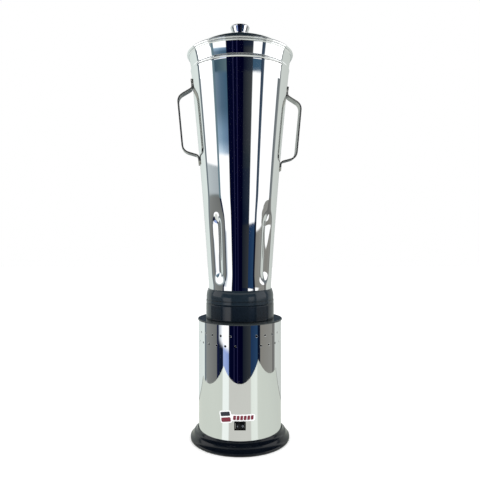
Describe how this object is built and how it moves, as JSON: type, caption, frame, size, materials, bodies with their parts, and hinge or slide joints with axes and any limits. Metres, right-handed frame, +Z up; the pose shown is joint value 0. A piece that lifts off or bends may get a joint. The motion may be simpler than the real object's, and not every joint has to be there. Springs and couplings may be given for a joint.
{
  "type": "commercial blender",
  "caption": "Tall commercial blender with a lift-off tapered steel cup, side handles and domed lid on a round vented motor cabinet.",
  "frame": {"origin": "centre of the foot's underside, on the surface it stands on", "axes": "+Z up along the motor and cup axis; the switch and badge face -Y; +X is to the right seen from the front"},
  "size_m": [0.2428, 0.206, 0.8],
  "materials": {
    "foot_rubber": "satin black moulded rubber",
    "plated_steel": "zinc plated sheet",
    "zinc_screw": "zinc plated",
    "mirror_steel": "mirror polished stainless sheet",
    "dark_cover": "semi-gloss dark enamel",
    "black_plastic": "glossy black moulded",
    "badge_plastic": "plain white vinyl",
    "switch_plastic": "black moulded",
    "rocker_plastic": "black moulded with plain on and off marks",
    "grommet_rubber": "matt black",
    "cast_aluminium": "as cast",
    "lamination_steel": "stacked laminations",
    "copper_enamel": "enamelled copper wire",
    "bearing_steel": "ground",
    "capacitor_case": "drawn can",
    "terminal_plastic": "moulded nylon",
    "shaft_steel": "turned",
    "fan_plastic": "moulded",
    "coupling_nylon": "moulded nylon",
    "handle_steel": "polished strip",
    "jug_base_plastic": "glossy black moulded",
    "seal_rubber": "matt",
    "bush_bronze": "sintered bronze",
    "blade_steel": "ground edges",
    "knob_aluminium": "turned and polished"
  },
  "bodies": {
    "cabinet": {"foot_ring": "foot_rubber", "bottom_plate": "plated_steel", "bottom_plate_screws": "zinc_screw", "cabinet_shell": "mirror_steel", "top_cover": "dark_cover", "seat_collar": "black_plastic", "collar_screws": "zinc_screw", "name_badge": "badge_plastic", "switch_housing": "switch_plastic", "cable_grommet": "grommet_rubber", "cable_clamp_nut": "black_plastic", "upper_end_bell": "cast_aluminium", "lower_end_bell": "cast_aluminium", "motor_tie_bolts": "zinc_screw", "stator_core": "lamination_steel", "stator_windings": "copper_enamel", "upper_bearing": "bearing_steel", "lower_bearing": "bearing_steel", "run_capacitor": "capacitor_case", "capacitor_saddle": "black_plastic", "terminal_block": "terminal_plastic"},
    "rotor": {"motor_shaft": "shaft_steel", "rotor_core": "lamination_steel", "cooling_fan": "fan_plastic", "drive_coupling": "coupling_nylon"},
    "rocker": {"switch_rocker": "rocker_plastic"},
    "jug": {"cup_neck": "mirror_steel", "cup_wall": "mirror_steel", "cup_collar": "mirror_steel", "handle_left": "handle_steel", "handle_right": "handle_steel", "jug_base": "jug_base_plastic", "hub_gasket": "seal_rubber", "bearing_housing": "shaft_steel", "hub_nut": "plated_steel", "lower_bush": "bush_bronze", "upper_bush": "bush_bronze", "shaft_seal": "seal_rubber"},
    "blades": {"blade_shaft": "shaft_steel", "driven_coupling": "coupling_nylon", "lower_blade": "blade_steel", "blade_spacer": "shaft_steel", "upper_blade": "blade_steel", "blade_washer": "shaft_steel", "blade_cap_nut": "shaft_steel"},
    "lid": {"lid_shell": "mirror_steel", "lid_seal": "seal_rubber", "lid_knob": "knob_aluminium", "lid_knob_washer": "zinc_screw", "lid_knob_screw": "zinc_screw"}
  },
  "joints": [
    {"name": "rotor_spin", "type": "hinge", "parent": "cabinet", "child": "rotor", "pos_m": [0, 0, 0.15], "axis": [0, 0, 1], "continuous": true},
    {"name": "switch_rock", "type": "hinge", "parent": "cabinet", "child": "rocker", "pos_m": [0, -0.0786, 0.05], "axis": [0, 0, 1], "range_deg": [-14, 0]},
    {"name": "jug_lift", "type": "slide", "parent": "cabinet", "child": "jug", "axis": [0, 0, 1], "range_m": [0, 0.1]},
    {"name": "blade_spin", "type": "hinge", "parent": "jug", "child": "blades", "pos_m": [0, 0, 0.29], "axis": [0, 0, 1], "continuous": true},
    {"name": "lid_lift", "type": "slide", "parent": "jug", "child": "lid", "axis": [0, 0, 1], "range_m": [0, 0.1]}
  ],
  "couplings": [
    {"joint": "blade_spin", "follows": "rotor_spin", "ratio": 1}
  ]
}
